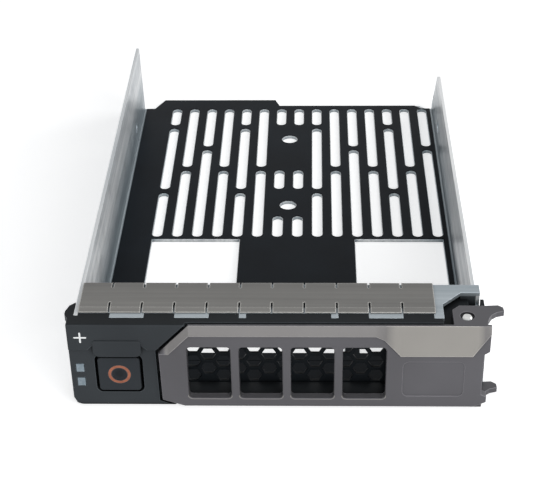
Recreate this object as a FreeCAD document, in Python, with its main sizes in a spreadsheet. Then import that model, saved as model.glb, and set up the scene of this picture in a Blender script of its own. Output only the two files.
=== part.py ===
"""Hot swap drive caddy for a 3.5 inch drive.

A folded steel tray carries the drive on a slotted floor. A moulded bezel closes its front, with a
honeycomb air vent behind a hinged release handle. The handle turns on a vertical pin at the right
and is held shut by a bell-crank latch, which a sprung push button at the left lets go.

Frame: +X to the right, +Y to the rear, +Z up, in millimetres. X = 0 is the middle of the drive bay,
Y = 0 the foremost edge of the handle and Z = 0 the underside of the tray.
"""
import FreeCAD
import Part
import Sketcher
import math
import os
import re

V = FreeCAD.Vector

SIZES = {
    # drive bay and sheet metal
    "bay_width": 102.0,
    "drive_length": 147.0,
    "sheet_thk": 1.0,
    "bend_radius": 0.5,
    "film_thk": 0.25,
    "film_margin": 0.2,
    "caddy_height": 27.0,
    "right_wall_height": 21.5,
    "floor_front": 10.0,
    "floor_overhang": 2.2,
    "wall_rear_gap": 3.0,
    "left_wall_rake": 4.3,
    "right_wall_rake": 14.5,
    "corner_inset": 5.7,
    "tab_length": 4.3,
    "tab_left": 44.2,
    "tab_right": 4.6,
    "tab_slope": 1.6,
    # floor pattern, laid out about its own centre line
    "pattern_centre": 4.05,
    "column_pitch": 6.185,
    "slot_width": 3.0,
    "slot_front": 80.3,
    "slot_rear": 162.4,
    "slot_short": 11.5,
    "slot_half": 40.0,
    "slot_medium": 26.4,
    "slot_third": 25.3,
    "slot_bridge": 2.7,
    "round_hole_dia": 5.05,
    "round_hole_front": 98.4,
    "round_hole_rear": 140.8,
    "window_front": 22.6,
    "window_rear": 78.9,
    "window_inner": 17.75,
    "window_outer": 44.6,
    "centre_window_half": 13.5,
    "centre_window_rear": 45.6,
    # drive screws
    "screw_rise": 6.35,
    "screw_spacing": 101.6,
    "screw_from_rear": 28.5,
    "screw_hole_dia": 3.6,
    # front bridge over the bay mouth
    "bridge_front": 5.9,
    "bridge_depth": 13.0,
    "bridge_lip": 3.5,
    "bridge_tab_reach": 2.0,
    "bridge_tab_width": 8.7,
    "bridge_tab_inner": 24.65,
    "bridge_tab_outer": 41.15,
    "key_width": 1.8,
    "key_offset": 11.7,
    "bridge_centre": 2.7,
    "side_ear_depth": 12.0,
    "side_ear_front": 10.2,
    "rivet_dia": 2.4,
    "rivet_head_dia": 4.0,
    "rivet_head_thk": 0.6,
    "rivet_drop": 6.0,
    "rivet_spacing": 4.6,
    # finger gasket on the bridge
    "gasket_left": 50.9,
    "gasket_right": 39.9,
    "gasket_thk": 0.2,
    "gasket_rise": 0.8,
    "gasket_slope": 1.2,
    "finger_pitch": 8.3,
    "finger_first": 7.75,
    "slit_width": 0.5,
    "slit_length": 3.4,
    # bezel
    "bezel_half_width": 53.6,
    "bezel_face": 3.2,
    "bezel_back": 9.6,
    "band_face": 0.8,
    "lower_face": 1.6,
    "hood_face": 0.45,
    "ledge_height": 18.7,
    "hood_top": 22.1,
    "corner_cut": 2.8,
    "lip_front": 2.0,
    "left_box_right": 25.8,
    "right_box_left": 30.5,
    "box_side_gap": 2.1,
    "wall_slot_front": 4.7,
    "tunnel_left": 24.6,
    "tunnel_right": 28.8,
    "tunnel_bottom": 2.4,
    "tunnel_top": 21.5,
    "bump_reach": 0.8,
    "bump_height": 2.0,
    # grille
    "grille_thk": 0.9,
    "grille_margin": 1.5,
    "cell_pitch_x": 4.0,
    "cell_pitch_z": 4.62,
    "cell_web": 0.65,
    # handle
    "handle_left": 30.5,
    "handle_right": 53.7,
    "handle_bottom": 0.2,
    "handle_drop": 0.3,
    "handle_shoulder": 22.6,
    "shoulder_height": 18.2,
    "main_face": 0.6,
    "handle_thk": 2.1,
    "facet_top_face": 0.9,
    "facet_strip": 2.7,
    "facet_wide_low": 17.8,
    "facet_overlap": 0.1,
    "facet_crest": 0.7,
    "facet_inset": 4.3,
    "facet_right_rise": 0.9,
    "step_start": 23.1,
    "step_bend": 21.0,
    "step_bend_drop": 1.1,
    "step_end": 16.7,
    "handle_gap": 0.9,
    "window_count": 4.0,
    "window_width": 11.05,
    "window_pitch": 13.27,
    "window_first": 23.3,
    "window_low": 3.4,
    "window_height": 16.5,
    "window_radius": 1.0,
    "sill_radius": 0.35,
    "notch_low": 4.8,
    "notch_high": 17.9,
    "notch_depth": 1.4,
    "label_left": 31.9,
    "label_width": 15.7,
    "label_low": 4.3,
    "label_height": 11.2,
    "label_depth": 0.2,
    "label_radius": 1.6,
    "handle_chamfer": 0.7,
    # pivot
    "pivot_x": 47.9,
    "pivot_y": 5.3,
    "pin_dia": 2.0,
    "running_gap": 0.05,
    "head_dia": 2.8,
    "head_recess": 0.75,
    "boss_dia": 4.2,
    "ear_thk": 1.5,
    "ear_left": 44.3,
    "ear_rear": 9.7,
    "claw_reach": 9.4,
    "claw_front": 7.3,
    "ear_gap": 0.3,
    "claw_pocket_left": 42.0,
    "claw_pocket_rear": 14.9,
    "claw_pocket_diag": 5.0,
    "coil_low": 9.0,
    "coil_turns": 6.0,
    "handle_wire": 0.6,
    # release button and its latch
    "button_x": 41.05,
    "button_z": 10.75,
    "button_width": 10.9,
    "button_height": 10.7,
    "button_proud": 0.4,
    "cap_radius": 1.0,
    "button_back": 3.9,
    "button_rim": 0.9,
    "rim_gap": 0.3,
    "button_gap": 0.75,
    "button_travel": 2.0,
    "ring_dia": 5.8,
    "ring_stroke": 0.75,
    "ring_depth": 0.4,
    "stem_dia": 3.0,
    "chamber_front": 3.0,
    "seat_front": 9.6,
    "seat_thk": 1.0,
    "button_wire": 0.5,
    "button_coil_dia": 4.6,
    "button_coil_turns": 5.0,
    "latch_x": 32.2,
    "latch_y": 13.5,
    "latch_pin_dia": 1.6,
    "latch_hub_dia": 4.0,
    "latch_arm": 1.6,
    "latch_hook_arm": 2.0,
    "latch_height": 5.0,
    "hub_gap": 0.2,
    "room_margin": 0.3,
    "room_drop": 0.6,
    "latch_pin_seat": 1.2,
    "cover_margin": 0.8,
    "lane_gap": 0.4,
    "hook_front": 5.6,
    "hook_back": 7.6,
    "hook_reach": 2.5,
    "tongue_thk": 1.6,
    "tongue_lip": 1.5,
    "tongue_gap": 0.3,
    "tongue_room": 0.5,
    "cover_thk": 1.2,
    "latch_wire": 0.4,
    # light pipes
    "pipe_x": 51.1,
    "pipe_width": 2.0,
    "pipe_high_z": 12.6,
    "pipe_low_z": 8.05,
    "pipe_height": 2.5,
    "pipe_strip_thk": 1.1,
    "lens_proud": 0.1,
    "pipe_head_back": 2.9,
    "pipe_high_run_z": 16.2,
    "pipe_low_run_z": 12.4,
    "pipe_rear": 160.0,
    "clearance": 0.15,
}

ALIAS = re.compile(r"\b(" + "|".join(sorted(SIZES, key=len, reverse=True)) + r")\b")

doc = FreeCAD.newDocument("drive_caddy")
dims = doc.addObject("Spreadsheet::Sheet", "dims")
for row, (alias, number) in enumerate(SIZES.items(), start=1):
    dims.set(f"A{row}", alias)
    dims.set(f"B{row}", str(number))
    dims.setAlias(f"B{row}", alias)
doc.recompute()


# ---------------------------------------------------------------- helpers

def ex(text):
    """The sheet expression for a formula written with the size names alone."""
    return ALIAS.sub(r"dims.\1", str(text))


def val(text):
    """The number that a formula of size names gives now."""
    return float(dims.evalExpression(ex(text)))


def new_body(label):
    body = doc.addObject("PartDesign::Body", label)
    body.Label = label
    return body


def plane_sketch(body, name, plane, at):
    """An empty sketch on the body's XY, XZ or YZ plane, moved to the world coordinate `at`."""
    sketch = body.newObject("Sketcher::SketchObject", name)
    origin_plane = next(o for o in body.Origin.OriginFeatures if o.Role == plane + "_Plane")
    sketch.AttachmentSupport = [(origin_plane, "")]
    sketch.MapMode = "FlatFace"
    sign = "-" if plane == "XZ" else ""
    sketch.setExpression("AttachmentOffset.Base.z", f"{sign}({ex(at)})")
    return sketch


def bind_point(sketch, geometry, vertex, x, y):
    """Ties one sketch vertex to two formulas."""
    for kind, formula in (("DistanceX", x), ("DistanceY", y)):
        index = sketch.addConstraint(
            Sketcher.Constraint(kind, -1, 1, geometry, vertex, val(formula)))
        sketch.setExpression(f"Constraints[{index}]", ex(formula))


def bind_radius(sketch, geometry, formula):
    index = sketch.addConstraint(Sketcher.Constraint("Radius", geometry, val(formula)))
    sketch.setExpression(f"Constraints[{index}]", ex(formula))


def add_polygon(sketch, points):
    """A closed outline of straight lines, each corner tied to its formulas."""
    corners = [V(val(x), val(y), 0) for x, y in points]
    count = len(corners)
    first = sketch.GeometryCount
    for i in range(count):
        sketch.addGeometry(Part.LineSegment(corners[i], corners[(i + 1) % count]))
    for i in range(count):
        sketch.addConstraint(
            Sketcher.Constraint("Coincident", first + i, 2, first + (i + 1) % count, 1))
    for i, (x, y) in enumerate(points):
        bind_point(sketch, first + i, 1, x, y)


def add_rectangle(sketch, x0, y0, x1, y1):
    add_polygon(sketch, [(x0, y0), (x1, y0), (x1, y1), (x0, y1)])


def add_circle(sketch, x, y, radius):
    index = sketch.addGeometry(Part.Circle(V(val(x), val(y), 0), V(0, 0, 1), val(radius)))
    bind_point(sketch, index, 3, x, y)
    bind_radius(sketch, index, radius)


def add_slot(sketch, x, y0, y1, width):
    """A slot with round ends that runs along the sketch's second axis."""
    radius = f"({width})/2"
    low = f"({y0})+{radius}"
    high = f"({y1})-{radius}"
    cx, r, a, b = val(x), val(radius), val(low), val(high)
    bottom = sketch.addGeometry(Part.ArcOfCircle(
        Part.Circle(V(cx, a, 0), V(0, 0, 1), r), math.pi, 2 * math.pi))
    right = sketch.addGeometry(Part.LineSegment(V(cx + r, a, 0), V(cx + r, b, 0)))
    top = sketch.addGeometry(Part.ArcOfCircle(
        Part.Circle(V(cx, b, 0), V(0, 0, 1), r), 0, math.pi))
    left = sketch.addGeometry(Part.LineSegment(V(cx - r, b, 0), V(cx - r, a, 0)))
    for one, end, other, start in (
            (bottom, 2, right, 1), (right, 2, top, 1), (top, 2, left, 1), (left, 2, bottom, 1)):
        sketch.addConstraint(Sketcher.Constraint("Tangent", one, end, other, start))
    sketch.addConstraint(Sketcher.Constraint("Equal", bottom, top))
    bind_point(sketch, bottom, 3, x, low)
    bind_point(sketch, top, 3, x, high)
    bind_radius(sketch, bottom, radius)


def grow(body, sketch, length):
    """Pads the sketch towards +X, +Y or +Z, whichever its plane faces."""
    pad = body.newObject("PartDesign::Pad", sketch.Name + "_pad")
    pad.Profile = sketch
    pad.Reversed = "XZ_Plane" in sketch.AttachmentSupport[0][0].Role
    pad.setExpression("Length", ex(length))
    return pad


def cut(body, sketch, length):
    """Pockets the sketch towards +X, +Y or +Z, whichever its plane faces."""
    pocket = body.newObject("PartDesign::Pocket", sketch.Name + "_cut")
    pocket.Profile = sketch
    pocket.Reversed = "XZ_Plane" not in sketch.AttachmentSupport[0][0].Role
    pocket.setExpression("Length", ex(length))
    pocket.Refine = False
    return pocket


def grow_polygon(body, name, plane, at, length, points):
    sketch = plane_sketch(body, name, plane, at)
    add_polygon(sketch, points)
    return grow(body, sketch, length)


def grow_box(body, name, low, high):
    """A block between two corners, each given as three formulas."""
    sketch = plane_sketch(body, name, "XY", low[2])
    add_rectangle(sketch, low[0], low[1], high[0], high[1])
    return grow(body, sketch, f"({high[2]})-({low[2]})")


def grow_round(body, name, plane, at, length, x, y, radius):
    sketch = plane_sketch(body, name, plane, at)
    add_circle(sketch, x, y, radius)
    return grow(body, sketch, length)


def cut_polygon(body, name, plane, at, length, points):
    sketch = plane_sketch(body, name, plane, at)
    add_polygon(sketch, points)
    return cut(body, sketch, length)


def cut_box(body, name, low, high):
    sketch = plane_sketch(body, name, "XY", low[2])
    add_rectangle(sketch, low[0], low[1], high[0], high[1])
    return cut(body, sketch, f"({high[2]})-({low[2]})")


def cut_round(body, name, plane, at, length, x, y, radius):
    sketch = plane_sketch(body, name, plane, at)
    add_circle(sketch, x, y, radius)
    return cut(body, sketch, length)


def pattern(body, feature, steps):
    """Repeats a feature along sketch axes: steps is a list of (axis, spacing, count)."""
    sketch = feature.Profile[0]
    if len(steps) == 1:
        axis, spacing, count = steps[0]
        row = body.newObject("PartDesign::LinearPattern", feature.Name + "_row")
        row.Originals = [feature]
        row.Direction = (sketch, [axis])
        row.setExpression("Length", f"({ex(spacing)})*({ex(count)}-1)")
        row.Occurrences = round(val(count))
        body.Tip = row
        return row
    grid = body.newObject("PartDesign::MultiTransform", feature.Name + "_grid")
    grid.Originals = [feature]
    parts = []
    for axis, spacing, count in steps:
        row = body.newObject("PartDesign::LinearPattern", f"{feature.Name}_{axis[0].lower()}")
        row.Direction = (sketch, [axis])
        row.setExpression("Length", f"({ex(spacing)})*({ex(count)}-1)")
        row.Occurrences = round(val(count))
        parts.append(row)
    grid.Transformations = parts
    body.Tip = grid
    return grid


def edges_where(shape, test):
    return [f"Edge{i}" for i, edge in enumerate(shape.Edges, start=1) if test(edge)]


def along(edge, axis):
    """True for a straight edge that runs along the given world axis."""
    if edge.Curve.TypeId != "Part::GeomLine":
        return False
    return abs(abs(edge.Curve.Direction.dot(axis)) - 1) < 1e-6


def soften(body, kind, size, test, size_name=None):
    """A Fillet or Chamfer of the body's edges that pass the test."""
    doc.recompute()
    base = body.Tip
    names = edges_where(base.Shape, test)
    if not names:
        raise RuntimeError(f"{body.Label}: no edge found to {kind.lower()}")
    feature = body.newObject("PartDesign::" + kind, size_name or f"{body.Name}_{kind.lower()}")
    feature.Base = (base, names)
    feature.setExpression("Radius" if kind == "Fillet" else "Size", ex(size))
    doc.recompute()
    if "Invalid" in feature.State or "Error" in feature.State:
        raise RuntimeError(f"{body.Label}: {kind.lower()} of {len(names)} edges failed")
    return feature


X_AXIS, Y_AXIS, Z_AXIS = V(1, 0, 0), V(0, 1, 0), V(0, 0, 1)


def near(one, other):
    return abs(one - other) < 1e-4


# ---------------------------------------------------------------- shared places

BAY_HALF = "(bay_width/2)"
OUTER_HALF = "(bay_width/2+sheet_thk)"
BRIDGE_REAR = "(bridge_front+bridge_depth)"
DRIVE_REAR = f"({BRIDGE_REAR}+drive_length)"
FLOOR_REAR = f"({DRIVE_REAR}-0.4*floor_overhang)"
WALL_REAR = f"({DRIVE_REAR}-wall_rear_gap)"
FLOOR_TOP = "(sheet_thk+film_thk)"
SCREW_Z = f"({FLOOR_TOP}+screw_rise)"
SCREW_REAR_Y = f"({DRIVE_REAR}-screw_from_rear)"
DECK = "(caddy_height-sheet_thk)"
HANDLE_TOP = "(caddy_height-handle_drop)"
EAR_TOP_LOW = f"({HANDLE_TOP}-ear_thk)"
EAR_BOTTOM_TOP = "(handle_bottom+ear_thk)"
RIVET_Z = f"({DECK}-rivet_drop+1)"
LEFT_RIVET_Y = ["(side_ear_front+1.6)", "(side_ear_front+1.6+rivet_spacing)"]
RIGHT_RIVET_Y = [f"({BRIDGE_REAR}-1.9)"]
LATCH_Z = "(button_z-latch_height/2)"
TONGUE_LEFT = "(-latch_x+hook_reach+tongue_gap)"
BUTTON_FACE = "(lower_face-button_proud)"
WELL_HALF = "(button_width/2+button_gap)"
WELL_TALL = "(button_height/2+button_gap)"
RIM_HALF = "(button_height/2+button_rim+rim_gap)"
ROOM_LEFT = f"(-button_x-{WELL_HALF}-room_margin)"
ROOM_RIGHT = f"({TONGUE_LEFT}+tongue_thk+tongue_room)"
ROOM_LOW = f"(button_z-{RIM_HALF}-room_drop)"
ROOM_HIGH = f"(button_z+{RIM_HALF}+room_drop)"
BOX_REAR = f"({BRIDGE_REAR}-sheet_thk)"
COVER_FRONT = f"({BOX_REAR}-cover_thk)"
CLAW_TIP = "(pivot_x+claw_reach)"
BEND_TOP = "(2*(sheet_thk+bend_radius))"


# ---------------------------------------------------------------- tray and film

def slot_ends(kind):
    """Front and rear ends of the slots in one column of the floor pattern."""
    short_front = "(slot_front+slot_short)"
    short_rear = "(slot_rear-slot_short)"
    if kind == "A":
        return [("slot_front", "(slot_front+slot_third)"),
                ("(slot_front+slot_third+slot_bridge)", f"({short_rear}-slot_bridge)"),
                (short_rear, "slot_rear")]
    if kind == "B":
        return [("slot_front", "(slot_front+slot_half-0.6)"),
                ("(slot_front+slot_half+slot_bridge-0.6)", "slot_rear")]
    if kind == "C":
        return [("slot_front", "(slot_rear-slot_medium-slot_bridge)"),
                ("(slot_rear-slot_medium)", "slot_rear")]
    return [("slot_front", short_front),
            ("(slot_front+28.1)", "(slot_front+28.1+slot_short)"),
            (short_rear, "slot_rear")]


COLUMNS = "ABCBABDDABCBABC"


def floor_openings(body, at, depth, wider):
    """Cuts the windows, slots and round holes of the floor, each wider all round by `wider`."""
    grown = f"({wider})"
    for name, x0, x1, y1 in (
            ("window_left", "-window_outer", "-window_inner", "window_rear"),
            ("window_right", "window_inner", "window_outer", "window_rear"),
            ("window_middle", "-centre_window_half", "centre_window_half", "centre_window_rear")):
        cut_polygon(body, name, "XY", at, depth, [
            (f"pattern_centre+({x0})-{grown}", f"window_front-{grown}"),
            (f"pattern_centre+({x1})+{grown}", f"window_front-{grown}"),
            (f"pattern_centre+({x1})+{grown}", f"{y1}+{grown}"),
            (f"pattern_centre+({x0})-{grown}", f"{y1}+{grown}")])
    middle = len(COLUMNS) // 2
    for i, kind in enumerate(COLUMNS):
        column = plane_sketch(body, f"slots_{i + 1}", "XY", at)
        for y0, y1 in slot_ends(kind):
            add_slot(column, f"pattern_centre+column_pitch*({i - middle})",
                     f"{y0}-{grown}", f"{y1}+{grown}", f"slot_width+2*{grown}")
        cut(body, column, depth)
    holes = plane_sketch(body, "round_holes", "XY", at)
    for y in ("round_hole_front", "round_hole_rear"):
        add_circle(holes, "pattern_centre-column_pitch/2", y, f"round_hole_dia/2+{grown}")
    cut(body, holes, depth)


def floor_outline(side, front_corners, rear_trim):
    """The floor's plan: its front corners from left to right, and a tab at the rear."""
    rear = f"({FLOOR_REAR}-({rear_trim}))"
    base = f"({WALL_REAR}-({rear_trim}))"
    tab = f"({FLOOR_REAR}+tab_length-({rear_trim}))"
    return front_corners + [
        (side, base),
        (f"{side}-3", base),
        (f"{side}-3-floor_overhang", rear),
        ("-tab_right+tab_slope", rear),
        ("-tab_right", tab),
        ("-tab_left", tab),
        ("-tab_left-2*tab_slope", base),
        (f"-({side})", base)]


def make_tray():
    """Folded tray: slotted floor, a full-height left wall and a lower right wall."""
    body = new_body("tray")
    corners = [
        (f"-{OUTER_HALF}", "floor_front"),
        ("claw_pocket_left-0.5", "floor_front"),
        ("claw_pocket_left+claw_pocket_diag-0.5", "claw_pocket_rear+0.3"),
        (OUTER_HALF, "claw_pocket_rear+0.3")]
    grow_polygon(body, "floor", "XY", "0", "sheet_thk", floor_outline(OUTER_HALF, corners, "0"))
    grow_polygon(body, "left_wall", "YZ", f"-{OUTER_HALF}", "sheet_thk", [
        ("floor_front", "0"),
        (WALL_REAR, "0"),
        (WALL_REAR, BEND_TOP),
        (f"{WALL_REAR}-left_wall_rake", "caddy_height"),
        ("wall_slot_front+clearance", "caddy_height"),
        ("wall_slot_front+clearance", "pipe_high_run_z+pipe_height"),
        ("floor_front", "pipe_high_run_z+pipe_height")])
    grow_polygon(body, "right_wall", "YZ", BAY_HALF, "sheet_thk", [
        ("claw_pocket_rear+0.3", "0"),
        (WALL_REAR, "0"),
        (WALL_REAR, BEND_TOP),
        (f"{WALL_REAR}-right_wall_rake", "right_wall_height"),
        (f"{BRIDGE_REAR}+5", "right_wall_height"),
        (f"{BRIDGE_REAR}+0.5", DECK),
        ("claw_pocket_rear+0.3", DECK),
        ("claw_pocket_rear+0.3", f"{EAR_TOP_LOW}-2"),
        ("bezel_back+0.4", f"{EAR_TOP_LOW}-2"),
        ("bezel_back+0.4", f"{EAR_BOTTOM_TOP}+2.5"),
        ("claw_pocket_rear+0.3", f"{EAR_BOTTOM_TOP}+2.5")])
    soften(body, "Fillet", "bend_radius", lambda e: along(e, Y_AXIS) and e.Length > 100
           and near(abs(e.CenterOfMass.x), val(BAY_HALF)) and near(e.CenterOfMass.z, val("sheet_thk")),
           "inner_bends")
    soften(body, "Fillet", "bend_radius+sheet_thk", lambda e: along(e, Y_AXIS) and e.Length > 100
           and near(abs(e.CenterOfMass.x), val(OUTER_HALF)) and near(e.CenterOfMass.z, 0),
           "outer_bends")
    soften(body, "Fillet", "2.5", lambda e: along(e, X_AXIS)
           and near(e.CenterOfMass.y, val(f"{WALL_REAR}-right_wall_rake"))
           and near(e.CenterOfMass.z, val("right_wall_height")), "right_wall_corner")
    floor_openings(body, "-1", "sheet_thk+2", "0")
    screws = plane_sketch(body, "drive_screw_holes", "YZ", f"-{OUTER_HALF}-1")
    for y in (SCREW_REAR_Y, f"{SCREW_REAR_Y}-screw_spacing"):
        add_circle(screws, y, SCREW_Z, "screw_hole_dia/2")
    cut(body, screws, f"2*{OUTER_HALF}+2")
    for name, at, places in (("left_rivet_holes", f"-{OUTER_HALF}-1", LEFT_RIVET_Y),
                             ("right_rivet_holes", f"{BAY_HALF}-1", RIGHT_RIVET_Y)):
        holes = plane_sketch(body, name, "YZ", at)
        for y in places:
            add_circle(holes, y, RIVET_Z, "rivet_dia/2+running_gap")
        cut(body, holes, "sheet_thk+2")
    return body


def make_film():
    """Insulating film that covers the floor under the drive's circuit board."""
    body = new_body("insulator_film")
    side = f"({BAY_HALF}-bend_radius-film_margin)"
    front = f"{BRIDGE_REAR}+film_margin"
    grow_polygon(body, "film", "XY", "sheet_thk", "film_thk",
                 floor_outline(side, [(f"-{side}", front), (side, front)], "film_margin"))
    floor_openings(body, "sheet_thk-1", "film_thk+2", "film_margin")
    return body


def make_front_film():
    """Strip of film on the floor between the bezel's boxes, under the bridge."""
    body = new_body("front_film")
    grow_box(body, "film", ("-left_box_right+film_margin", "floor_front+film_margin", "sheet_thk"),
             ("right_box_left-film_margin", BRIDGE_REAR, "sheet_thk+film_thk"))
    return body


# ---------------------------------------------------------------- front bridge, rivets, gasket

def make_bridge():
    """Folded plate that ties the walls over the bay mouth and carries the gasket."""
    body = new_body("front_bridge")
    grow_polygon(body, "plate", "XY", DECK, "sheet_thk", [
        (f"-{BAY_HALF}+clearance", "bridge_front"),
        ("claw_pocket_left", "bridge_front"),
        ("claw_pocket_left", "claw_pocket_rear-claw_pocket_diag"),
        ("claw_pocket_left+claw_pocket_diag", "claw_pocket_rear"),
        (OUTER_HALF, "claw_pocket_rear"),
        (OUTER_HALF, BRIDGE_REAR),
        (f"-{BAY_HALF}+clearance", BRIDGE_REAR)])
    half = "bridge_tab_width/2"
    fronts = [(f"bridge_centre+({sign}{place})-{half}", f"bridge_centre+({sign}{place})+{half}")
              for place in ("bridge_tab_inner", "bridge_tab_outer") for sign in "+-"]
    fronts += [(f"bridge_centre+({sign}key_offset)-key_width/2",
                f"bridge_centre+({sign}key_offset)+key_width/2") for sign in "+-"]
    for i, (x0, x1) in enumerate(fronts):
        if val(x1) > val("claw_pocket_left"):
            x1 = "claw_pocket_left"
        grow_box(body, f"front_tab_{i + 1}", (x0, "bridge_front-bridge_tab_reach", DECK),
                 (x1, "bridge_front+1", "caddy_height"))
    grow_box(body, "rear_lip", (f"-{BAY_HALF}+clearance", f"{BRIDGE_REAR}-sheet_thk",
                                "caddy_height-bridge_lip"),
             (f"{BAY_HALF}-clearance", BRIDGE_REAR, DECK))
    ear_low = f"({DECK}-side_ear_depth)"
    grow_box(body, "left_ear", (f"-{BAY_HALF}+clearance", "side_ear_front", ear_low),
             (f"-{BAY_HALF}+clearance+sheet_thk", f"{BRIDGE_REAR}-sheet_thk", DECK))
    grow_box(body, "right_ear", (f"{BAY_HALF}-clearance-sheet_thk", "claw_pocket_rear+0.2", ear_low),
             (f"{BAY_HALF}-clearance", f"{BRIDGE_REAR}-sheet_thk", DECK))
    for name, at, places in (("left_holes", f"-{BAY_HALF}", LEFT_RIVET_Y),
                             ("right_holes", f"{BAY_HALF}-sheet_thk-1", RIGHT_RIVET_Y)):
        holes = plane_sketch(body, name, "YZ", at)
        for y in places:
            add_circle(holes, y, RIVET_Z, "rivet_dia/2+running_gap")
        cut(body, holes, "sheet_thk+1")
    soften(body, "Fillet", "0.7*sheet_thk", lambda e: along(e, X_AXIS) and e.Length > 60
           and near(e.CenterOfMass.y, val(BRIDGE_REAR))
           and near(e.CenterOfMass.z, val("caddy_height")), "rear_bend")
    return body


def make_rivets():
    """Rivets that join the bridge's ears to the tray walls, heads on the inside."""
    shank = "(2*sheet_thk+clearance)"
    places = [(-1, y) for y in LEFT_RIVET_Y] + [(1, y) for y in RIGHT_RIVET_Y]
    made = []
    for i, (side, place) in enumerate(places, start=1):
        pin = doc.addObject("Part::Cylinder", f"rivet_shank_{i}")
        pin.setExpression("Radius", ex("rivet_dia/2"))
        pin.setExpression("Height", ex(shank))
        head = doc.addObject("Part::Cone", f"rivet_head_{i}")
        head.setExpression("Radius1", ex("rivet_head_dia/2"))
        head.setExpression("Radius2", ex("rivet_dia/2"))
        head.setExpression("Height", ex("rivet_head_thk"))
        turn = FreeCAD.Rotation(Y_AXIS, 90 if side < 0 else -90)
        for piece, start in ((pin, "0"), (head, shank)):
            piece.Placement = FreeCAD.Placement(V(0, 0, 0), turn)
            piece.setExpression("Placement.Base.x", ex(f"{-side}*(({start})-{OUTER_HALF})"))
            piece.setExpression("Placement.Base.y", ex(place))
            piece.setExpression("Placement.Base.z", ex(RIVET_Z))
        one = doc.addObject("Part::Fuse", f"rivet_{i}")
        one.Base, one.Tool = pin, head
        made.append(one)
    group = doc.addObject("Part::Compound", "bridge_rivets")
    group.Links = made
    group.Label = "bridge_rivets"
    return group


def make_gasket():
    """Spring-metal finger strip on the bridge, slit from both edges into fingers."""
    body = new_body("emi_gasket")
    base = "caddy_height"
    crest = f"{base}+gasket_rise"
    grow_polygon(body, "strip", "YZ", "-gasket_left", "gasket_left+gasket_right", [
        ("bridge_front", base),
        ("bridge_front+gasket_slope", crest),
        (f"{BRIDGE_REAR}-gasket_slope", crest),
        (BRIDGE_REAR, base),
        (BRIDGE_REAR, f"{base}+gasket_thk"),
        (f"{BRIDGE_REAR}-gasket_slope", f"{crest}+gasket_thk"),
        ("bridge_front+gasket_slope", f"{crest}+gasket_thk"),
        ("bridge_front", f"{base}+gasket_thk")])
    count = "trunc((gasket_left+gasket_right-finger_first)/finger_pitch)"
    for name, y0, y1 in (("front_slit", "bridge_front-1", "bridge_front+slit_length"),
                         ("rear_slit", f"{BRIDGE_REAR}-slit_length", f"{BRIDGE_REAR}+1")):
        slit = plane_sketch(body, name, "XY", "caddy_height-1")
        add_slot(slit, "-gasket_left+finger_first", y0, y1, "slit_width")
        pattern(body, cut(body, slit, "gasket_rise+3"), [("H_Axis", "finger_pitch", count)])
    return body


# ---------------------------------------------------------------- bezel and grille

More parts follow.
